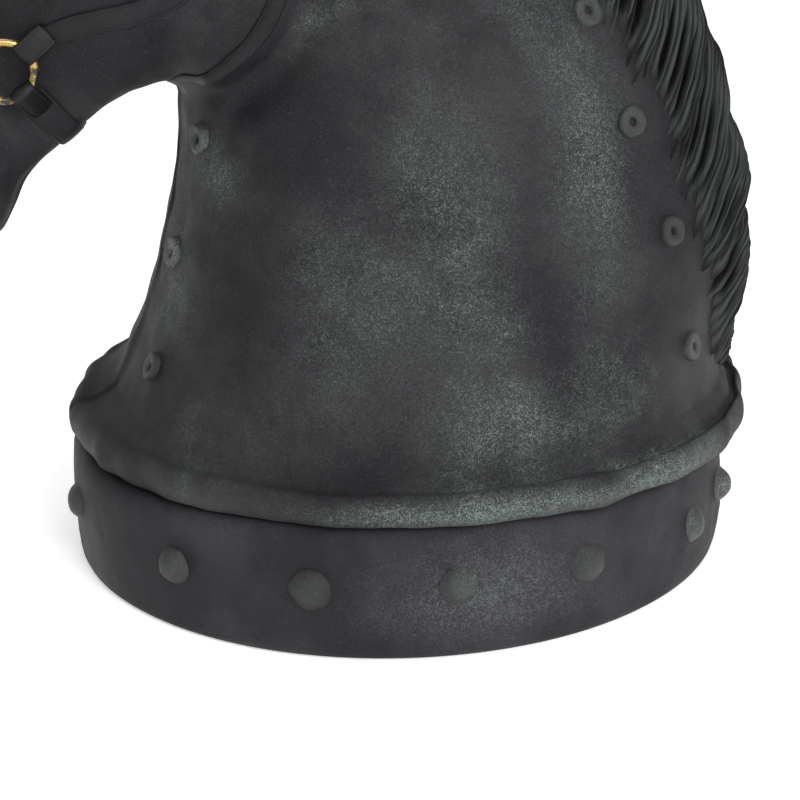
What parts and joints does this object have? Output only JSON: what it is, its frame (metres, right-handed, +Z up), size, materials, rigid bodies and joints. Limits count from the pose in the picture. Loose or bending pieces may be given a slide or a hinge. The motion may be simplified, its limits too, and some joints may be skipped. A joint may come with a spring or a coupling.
{
  "type": "giant garden chess piece",
  "caption": "Giant lawn-game chess knight: a hollow cast horse's head and neck with bridle, rivets and layered mane, on a round studded plinth.",
  "frame": {"origin": "centre of the flat bottom face of the plinth, which rests on the ground", "axes": "+Z up through the neck; -X is the way the horse faces; -Y is its left side"},
  "size_m": [0.7346, 0.5765, 0.838],
  "materials": {
    "bust_resin": "matt charcoal with grey-green dry brushing",
    "plinth_resin": "matt charcoal",
    "mane_resin": "matt black-green with worn edges",
    "stud_resin": "matt grey-green",
    "strap_resin": "satin black",
    "ring_brass": "black lacquer worn to brass",
    "eye_gloss": "gloss black",
    "laminate": "bare glass-fibre laminate",
    "base_plate_board": "plain moulded board",
    "screw_steel": "zinc plated",
    "plug_rubber": "moulded rubber",
    "sand": "dry sand"
  },
  "bodies": {
    "statue": {"base_plate": "base_plate_board", "base_plate_screws": "screw_steel", "browband": "strap_resin", "chin_strap": "strap_resin", "crownpiece": "strap_resin", "forelock": "mane_resin", "front_seam_strip": "laminate", "left_bridle_ring": "ring_brass", "left_cheekpiece": "strap_resin", "left_ear": "bust_resin", "left_eye": "eye_gloss", "left_neck_rivets": "stud_resin", "left_ring_loops": "strap_resin", "left_shell": "bust_resin", "mane_lock_01": "mane_resin", "mane_lock_02": "mane_resin", "mane_lock_03": "mane_resin", "mane_lock_04": "mane_resin", "mane_lock_05": "mane_resin", "mane_lock_06": "mane_resin", "mane_lock_07": "mane_resin", "mane_lock_08": "mane_resin", "mane_lock_09": "mane_resin", "mane_lock_10": "mane_resin", "noseband": "strap_resin", "plinth_band": "plinth_resin", "plinth_studs": "stud_resin", "rear_seam_strip": "laminate", "right_bridle_ring": "ring_brass", "right_cheekpiece": "strap_resin", "right_ear": "bust_resin", "right_eye": "eye_gloss", "right_neck_rivets": "stud_resin", "right_ring_loops": "strap_resin", "right_shell": "bust_resin", "sand_ballast": "sand", "screw_blocks": "plinth_resin", "throat_lash": "strap_resin"},
    "plug": {"filler_plug": "plug_rubber"}
  },
  "joints": [
    {"name": "plug_pull", "type": "slide", "parent": "statue", "child": "plug", "axis": [0, 0, -1], "range_m": [0, 0.045]}
  ]
}
